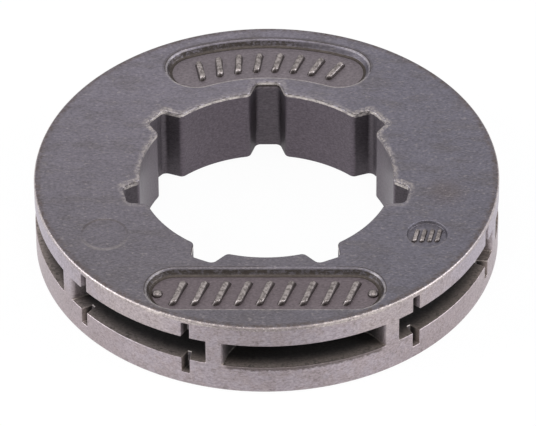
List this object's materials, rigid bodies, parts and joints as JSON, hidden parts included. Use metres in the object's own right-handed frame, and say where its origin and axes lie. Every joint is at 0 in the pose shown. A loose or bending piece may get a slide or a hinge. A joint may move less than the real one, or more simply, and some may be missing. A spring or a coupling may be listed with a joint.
{
  "type": "chainsaw rim sprocket",
  "caption": "Flat ring-shaped drive rim for a saw chain, with closed pockets between two rims, small notches and a splined bore.",
  "frame": {"origin": "centre of the flat bottom face, on the bore axis", "axes": "+Z along the bore axis, up through the face with the panels; -Y towards the straight panel"},
  "size_m": [0.035, 0.035, 0.0063],
  "materials": {
    "cast_steel": "tumbled cast steel, oiled, with bare metal on the outside of the rims"
  },
  "bodies": {
    "root": {"rim_sprocket": "cast_steel"}
  },
  "joints": []
}
